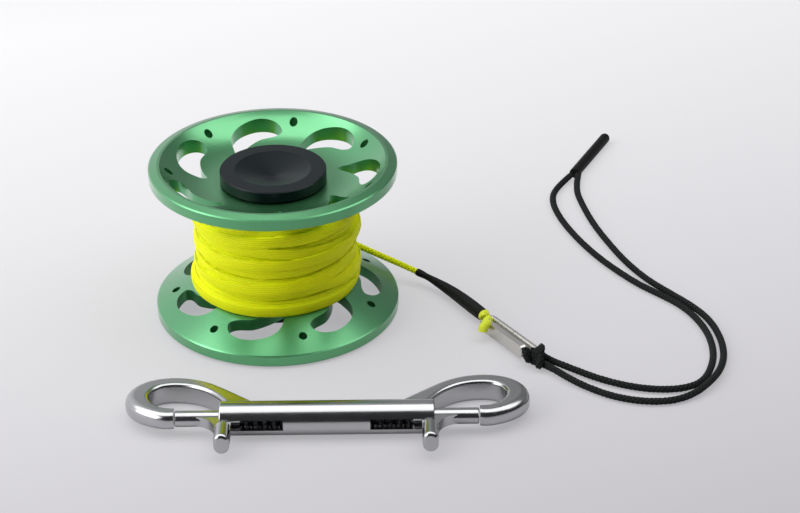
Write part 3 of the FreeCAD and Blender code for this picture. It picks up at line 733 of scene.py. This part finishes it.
# %% [markdown]
# The line ends in a hitch round the link's near end, pulled so hard that its braid closes and its turns
# press into each other. Separate tubes would show gaps that the real hitch doesn't have. So three short,
# thick lobes are remeshed as one skin, as if clay were pressed together, and then smoothed.

# %% The line's hitch
HITCH_DEEP = (0.50, 0.57, 0.02, 1)
HITCH_BRIGHT = (0.66, 0.72, 0.06, 1)
HITCH_R = 1.46             # thicker than the line, because a lobe stands for more than one turn
HITCH_LOBES = [
    [(63.8, -14.5, 4.4), (63.0, -14.8, 4.5), (62.3, -15.2, 4.3), (62.5, -15.9, 4.0)],
    [(63.8, -20.3, 4.7), (63.0, -21.2, 4.8), (62.1, -22.2, 4.3), (62.0, -22.6, 3.2)],
    [(64.3, -15.9, 3.3), (63.4, -17.4, 3.6), (62.9, -18.8, 3.0), (63.6, -19.0, 2.0)],
]
SOFT_VOXEL = 0.13          # size of the little cubes that the skin is made from
SOFTENING = 6              # times that it is smoothed


def softened(piece):
    """The piece remeshed as one skin and smoothed."""
    select_only(piece)
    bpy.ops.object.modifier_add(type="REMESH")
    piece.modifiers[-1].mode = "VOXEL"
    piece.modifiers[-1].voxel_size = SOFT_VOXEL * MM
    bpy.ops.object.modifier_apply(modifier=piece.modifiers[-1].name)
    bpy.ops.object.modifier_add(type="SMOOTH")
    piece.modifiers[-1].iterations = SOFTENING
    bpy.ops.object.modifier_apply(modifier=piece.modifiers[-1].name)
    bpy.ops.object.shade_smooth()
    return piece


lobes = tubes("yellow_hitch", [spline_points(lobe) for lobe in HITCH_LOBES], HITCH_R, resolution=6)
hitch = softened(lobes)
hitch.data.materials.append(yellow_line_material("yellow_hitch", HITCH_DEEP, HITCH_BRIGHT)[0])
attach(hitch, "spool")
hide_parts("line_hitch")
tell(hitch)

# %% [markdown]
# The lanyard is tied to the link's far end in a tight knot. Its braid stays open there, so it can't be
# one skin. A real knot is one long route, but pulled tight it shows only a few short bends that bury each
# other. So it is made of these: round or oval turns, each about its own centre, and short runs of cord
# that come out of them and go over them.

# %% The lanyard's knot
LINK_ANGLE = math.radians(-56.5)     # which way the link points on the table
ACROSS_LINK = (-math.sin(LINK_ANGLE), math.cos(LINK_ANGLE), 0)
KNOT_TURNS = [             # centre, axis, and half the width and height in millimetres
    ((74.5, -35.6, 3.3), ACROSS_LINK, (0.85, 1.15)),
    ((78.0, -37.2, 3.7), (0.93, -0.30, 0.10), (1.2, 2.1)),
    ((77.0, -36.2, 3.5), (0.85, -0.50, 0.0), (1.0, 1.2)),
    ((78.1, -36.9, 3.0), (0.45, -0.70, 0.55), (1.15, 1.15)),
]
KNOT_STRANDS = [
    [(75.6, -35.0, 4.2), (78.0, -35.9, 3.6), (80.0, -36.5, 2.5), (82.4, -37.9, 1.9)],
    [(75.7, -36.8, 1.7), (77.9, -38.0, 1.5), (79.6, -39.0, 1.6), (81.8, -41.4, 1.6)],
    [(73.8, -36.2, 5.7), (73.8, -37.0, 5.0), (74.2, -37.5, 3.3), (75.0, -37.1, 1.9)],
    [(78.6, -35.6, 5.8), (78.6, -37.0, 6.3), (78.2, -38.6, 4.6), (77.9, -40.1, 2.9), (77.7, -40.0, 1.4),
     (77.6, -37.6, 1.4)],
]
TURN_POINTS = 60
TURN_SWEEP = 2.1 * math.pi           # a little more than once round, so that the ends lie in each other


def turn_path(centre, axis, sizes):
    """A turn about its own centre, round or oval."""
    axis = np.array(axis) / np.linalg.norm(axis)
    side = np.cross(axis, (0, 0, 1))
    side /= np.linalg.norm(side)
    rise = np.cross(side, axis)
    angles = np.linspace(0, TURN_SWEEP, TURN_POINTS)[:, None]
    return np.array(centre) + side * np.cos(angles) * sizes[0] + rise * np.sin(angles) * sizes[1]


knot_paths = [turn_path(*turn) for turn in KNOT_TURNS] + [spline_points(route) for route in KNOT_STRANDS]
knot = joined([braid("knot_turn", path, LANYARD_R, LANYARD_LAY) for path in knot_paths], "black_knot")
knot.data.materials.append(black_cord)
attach(knot, "spool")
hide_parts("lanyard_knot")
tell(knot)

# %% [markdown]
# The free line is a cord as well, with its real length and thickness. The sleeve, the hitch and the link
# sit on it, and its length is printed once all of them are made.

# %% The free line's length
print("the free line is", round(length_of(line_path), 1), "mm long")

# %% [markdown]
# The wound line is the spool's brightest part. It is a flat braid that is laid by hand, so its turns
# overlap and cross. A helix would look machine-made, and a physics simulation would take hours. So the
# turns are laid here as a hand would lay them. First comes the height of the line at every step: it
# sweeps up and down between the flanges, straying a little to both sides. The last turns sweep down fast,
# which gives the long slanting seams at the front.

# %% Where the line is laid
STEPS_PER_TURN = 96
BAND_WIDTH = 3.5
EDGE_GAP = 0.05            # between a flange and the edge of the turn beside it
winding_low, winding_high = (corner[2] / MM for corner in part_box("line_winding"))
LOWEST = winding_low + BAND_WIDTH / 2 + EDGE_GAP
HIGHEST = winding_high - BAND_WIDTH / 2 - EDGE_GAP
LAYING = [                 # turn and height of the line's middle, in millimetres
    (0.0, LOWEST), (1.2, LOWEST), (9.6, HIGHEST), (10.6, HIGHEST), (18.2, LOWEST), (20.0, LOWEST + 0.2),
    (22.2, HIGHEST), (25.2, 15.3),
]
LAST_TURN = LAYING[-1][0]
WANDER = 0.7               # how far the hand strays from an even sweep, in millimetres
WANDERS_PER_TURN = 2
WANDER_SEED = 11
SMOOTHING = 8              # steps on each side over which the sweep is averaged


def laying_heights():
    """The height of the line's middle at every step, with a small hand-made wander."""
    turn = np.arange(int(LAST_TURN * STEPS_PER_TURN) + 1) / STEPS_PER_TURN
    height = np.interp(turn, [p[0] for p in LAYING], [p[1] for p in LAYING])
    draw = random.Random(WANDER_SEED)
    wander = [draw.uniform(-WANDER, WANDER) for _ in range(int(LAST_TURN * WANDERS_PER_TURN) + 3)]
    fade = np.clip((LAST_TURN - turn) * WANDERS_PER_TURN, 0, 1)
    height = height + fade * np.interp(turn * WANDERS_PER_TURN, np.arange(len(wander)), wander)
    window = 2 * SMOOTHING + 1
    padded = np.concatenate([np.full(SMOOTHING, height[0]), height, np.full(SMOOTHING, height[-1])])
    return turn, np.clip(np.convolve(padded, np.ones(window) / window, mode="valid"), LOWEST, HIGHEST)


turn, band_height = laying_heights()
print("the line is laid in", len(turn), "steps, from", round(LOWEST, 2), "to", round(HIGHEST, 2), "mm high")

# %% [markdown]
# Then comes the radius. A table of radii over angle and height holds what is already wound. At each step
# the line looks at three strips of it, under its lower, middle and upper third, rests on the highest, and
# leans with them. Like a stiff real line it can climb, fall and lean only a little in each step, so it
# bridges the hollows beside other turns. Then it raises the table by its own thickness.

# %% What each turn rests on
BAND_THICKNESS = 0.58
CORE_RADIUS = 21.75        # radius of the tight inner turns, which nobody sees
CELL_HEIGHT = 0.25         # height of a cell in the table
HEIGHT_CELLS = 200
LOOK_AHEAD = 3             # steps over which the line climbs before it reaches a higher turn
MOST_RISE = 0.10           # change of radius in one step, in millimetres
MOST_FALL = 0.05
MOST_LEAN = 0.22           # slope of the band across its width
LEAN_STEP = 0.03           # change of that slope in one step


def lay_turns(turn, height):
    """The line's radius and lean at every step, laid on what is there, and the table that this leaves."""
    under = np.full((STEPS_PER_TURN, HEIGHT_CELLS), CORE_RADIUS)
    cell_z = np.arange(HEIGHT_CELLS) * CELL_HEIGHT
    radius = np.empty(len(turn))
    lean = np.empty(len(turn))
    now = CORE_RADIUS
    slope = 0.0
    for i, z in enumerate(height):
        around = [-(i + k) % STEPS_PER_TURN for k in range(LOOK_AHEAD + 1)]
        offset = cell_z - z
        below = under[around].max(axis=0)
        low = below[(offset > -BAND_WIDTH / 2) & (offset < -BAND_WIDTH / 6)].max()
        middle = below[np.abs(offset) <= BAND_WIDTH / 6].max()
        high = below[(offset < BAND_WIDTH / 2) & (offset > BAND_WIDTH / 6)].max()
        wanted_slope = float(np.clip((high - low) / (BAND_WIDTH * 2 / 3), -MOST_LEAN, MOST_LEAN))
        slope += float(np.clip(wanted_slope - slope, -LEAN_STEP, LEAN_STEP))
        lift = slope * BAND_WIDTH / 3
        wanted = max(middle, low + lift, high - lift)
        now += float(np.clip(wanted - now, -MOST_FALL, MOST_RISE))
        covered = np.abs(offset) <= BAND_WIDTH / 2
        place = -i % STEPS_PER_TURN
        top = now + slope * offset[covered] + BAND_THICKNESS
        under[place, covered] = np.maximum(under[place, covered], top)
        radius[i] = now
        lean[i] = slope
    return radius + BAND_THICKNESS / 2, lean, under


band_radius, band_lean, wound_table = lay_turns(turn, band_height)
print("winding of", LAST_TURN, "turns, outermost radius", round(float(band_radius.max()), 2), "mm")

# %% [markdown]
# The last turn doesn't end on the winding: the line lifts off it and becomes the free line. A sudden step
# would show, so over a short way the band's radius goes over to that of the free line's start.

# %% Out to the free end
EXIT_ANGLE = math.atan2(LINE_ROUTE[0][1], LINE_ROUTE[0][0])
LEAVING = 0.06             # share of a turn over which the line moves out to its free end
END_INSET = 0.3            # how far inside the free line's start the band ends

leaving = np.clip((turn - LAST_TURN + LEAVING) / LEAVING, 0, 1)
end_radius = np.hypot(*LINE_ROUTE[0][:2]) - END_INSET
band_radius = band_radius * (1 - leaving) + end_radius * leaving
print("it leaves at", round(math.degrees(EXIT_ANGLE)), "degrees, radius", round(end_radius, 2), "mm")

# %% [markdown]
# The band is a flat braid with a few raised lines along it. Its section is drawn once, as a closed curve,
# and swept along the laid path by giving the path's curve that section as its bevel. Each point of the
# path carries a tilt, which leans the band, and a radius, which narrows it where it leaves for its free
# end.

# %% Sweeping the band along the path
RIDGES = 6
RIDGE_HEIGHT = 0.07
EDGE_POWER = 3             # the higher, the flatter the band is before it rounds off at its edges
PROFILE_STEPS = 29
INNER_POINTS = range(4, PROFILE_STEPS - 1, 5)
END_NARROWING = 0.45       # how much of its width the band loses where it leaves
BAND_SMOOTH = math.radians(60)


def band_profile():
    """The braid's section as a closed curve, its ridged outer side along -X and its width along Y."""
    across = np.linspace(-1, 1, PROFILE_STEPS)
    rise = BAND_THICKNESS / 2 * (1 - np.abs(across) ** EDGE_POWER)
    ridge = RIDGE_HEIGHT * (np.cos(across * math.pi * RIDGES) - 1) / 2
    outer = [(-(r + g), a * BAND_WIDTH / 2) for a, r, g in zip(across, rise, ridge)]
    inner = [(rise[k], across[k] * BAND_WIDTH / 2) for k in reversed(INNER_POINTS)]
    curve = bpy.data.curves.new("band_profile", "CURVE")
    spline = curve.splines.new("POLY")
    spline.points.add(len(outer) + len(inner) - 1)
    for point, (x, y) in zip(spline.points, outer + inner):
        point.co = (x * MM, y * MM, 0, 1)
    spline.use_cyclic_u = True
    return placed("band_profile", curve)


def swept_band(profile):
    """The band along the path that was laid."""
    curve = bpy.data.curves.new("wound_line", "CURVE")
    curve.dimensions = "3D"
    curve.twist_mode = "Z_UP"
    curve.bevel_mode = "OBJECT"
    curve.bevel_object = profile
    curve.use_fill_caps = True
    spline = curve.splines.new("POLY")
    spline.points.add(len(turn) - 1)
    angles = EXIT_ANGLE + 2 * math.pi * (LAST_TURN - turn)
    for i, point in enumerate(spline.points):
        x = band_radius[i] * math.cos(angles[i])
        y = band_radius[i] * math.sin(angles[i])
        point.co = (x * MM, y * MM, band_height[i] * MM, 1)
        point.tilt = -math.atan(band_lean[i])
        point.radius = 1 - END_NARROWING * leaving[i]
    band = as_mesh(placed("wound_line", curve))
    bpy.ops.object.shade_smooth_by_angle(angle=BAND_SMOOTH)
    return band


profile = band_profile()
winding = swept_band(profile)
bpy.data.objects.remove(profile)
tell(winding)

# %% [markdown]
# Between the turns the eye looks into the winding, where more line fills it down to the hub. Real turns
# there would double the mesh for nothing. One closed core takes their place: it follows the table a
# little lower than the lowest place nearby, and its two ends have grooves, as the edges of the flat line
# show them.

# %% The core under the visible turns
CORE_DEPTH = 0.3           # how far the core lies below the table
CORE_REACH = 2             # steps to each side whose lowest place counts
END_TURN_PITCH = 0.7       # the flat line's thickness, as it shows on the winding's two ends
END_TURN_DEPTH = 0.35      # depth of the grooves between these edges
LOWER_END_GAP = 0.1        # how far the core stays inside the winding's box at its two ends
UPPER_END_GAP = 0.05
HUB_GAP = 0.05             # between the hub and the core
hub_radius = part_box("hub")[1][0] / MM + HUB_GAP


def lowest_around(table, reach):
    """At each cell, the lowest value of the cells up to reach away, with the angle going round."""
    lowest = table
    for shift in range(-reach, reach + 1):
        lowest = np.minimum(lowest, np.roll(table, shift, axis=0))
    return lowest


def core_rows(table):
    """Rows of radius and height from the hub out along the lower end, up the side and back to the hub."""
    heights = np.arange(winding_low + LOWER_END_GAP, winding_high - UPPER_END_GAP, 2 * CELL_HEIGHT)
    side = [(table[:, int(z / CELL_HEIGHT)], z) for z in heights]
    lower_edge, upper_edge = side[0][0], side[-1][0]
    steps = int((CORE_RADIUS - hub_radius) / END_TURN_PITCH) * 2
    rows = []
    for k in range(steps):
        groove = END_TURN_DEPTH * (k % 2)
        rows.append((hub_radius + (lower_edge - hub_radius) * k / steps, heights[0] + groove))
    rows += side
    for k in range(steps - 1, -1, -1):
        groove = END_TURN_DEPTH * (k % 2)
        rows.append((hub_radius + (upper_edge - hub_radius) * k / steps, heights[-1] - groove))
    return rows


def closed_grid(name, rows, angles):
    """A mesh of rows that go round an axis and close on each other, like a thick ring."""
    count = len(angles)
    points = [(r[k] * math.cos(a) * MM, r[k] * math.sin(a) * MM, z * MM)
              for r, z in rows for k, a in enumerate(angles)]
    faces = []
    for i in range(len(rows)):
        j = (i + 1) % len(rows)
        for k in range(count):
            m = (k + 1) % count
            faces.append((i * count + k, i * count + m, j * count + m, j * count + k))
    mesh = bpy.data.meshes.new(name)
    mesh.from_pydata(points, [], faces)
    return placed(name, mesh)


core_table = lowest_around(wound_table, CORE_REACH) - CORE_DEPTH
core_angles = EXIT_ANGLE + 2 * math.pi * (LAST_TURN + np.arange(STEPS_PER_TURN) / STEPS_PER_TURN)
core = closed_grid("wound_core", core_rows(core_table), core_angles)
core.data.materials.append(yellow_line)
tell(core)

# %% [markdown]
# Close up, the flat braid shows fine lines along its length, with painted shade in the grooves between
# its ridges. Colour that follows the place in space would slide across the turns, so the lines use the UV
# map that the sweep gave the band. Its V runs round the section, and a cosine of it has its crests on the
# ridges.

# %% The wound line's material, with painted shade in its grooves
# painted shade: the grooves between the braid's ridges are darkened in the colour
GROOVE_SHADE = 0.82        # how bright the grooves are, against the ridges
GROOVE_WAVE = -1.0         # the cosine at the bottom of a groove
RIDGE_WAVE = 0.4           # and where the ridge is at its full colour


def wound_line_material():
    """The line's yellow with painted shade in the grooves along the band."""
    material, tree, shader, dye = yellow_line_material("wound_line")
    waves_round = (PROFILE_STEPS + len(INNER_POINTS)) / (PROFILE_STEPS - 1) * RIDGES
    place = add(tree, "ShaderNodeUVMap", uv_map="UVMap")
    split = add(tree, "ShaderNodeSeparateXYZ")
    across = times(tree, waves_round * 2 * math.pi)
    wave = add(tree, "ShaderNodeMath", operation="COSINE")
    crest = add(tree, "ShaderNodeMapRange", in_From_Min=GROOVE_WAVE, in_From_Max=RIDGE_WAVE,
                in_To_Min=GROOVE_SHADE, in_To_Max=1.0)
    shaded = colour_mix(tree, blend_type="MULTIPLY", in_Factor=1.0)
    link(tree, place.outputs["UV"], split.inputs["Vector"])
    link(tree, split.outputs["Y"], across.inputs[0])
    link(tree, across.outputs["Value"], wave.inputs[0])
    link(tree, wave.outputs["Value"], crest.inputs["Value"])
    link(tree, dye.outputs[COLOUR_OUT], shaded.inputs[COLOUR_A])
    link(tree, crest.outputs["Result"], shaded.inputs[COLOUR_B])
    link(tree, shaded.outputs[COLOUR_OUT], shader.inputs["Base Color"])
    return material


winding.data.materials.append(wound_line_material())
winding = joined([winding, core], "wound_line")
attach(winding, "spool")
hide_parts("line_winding")
tell(winding)
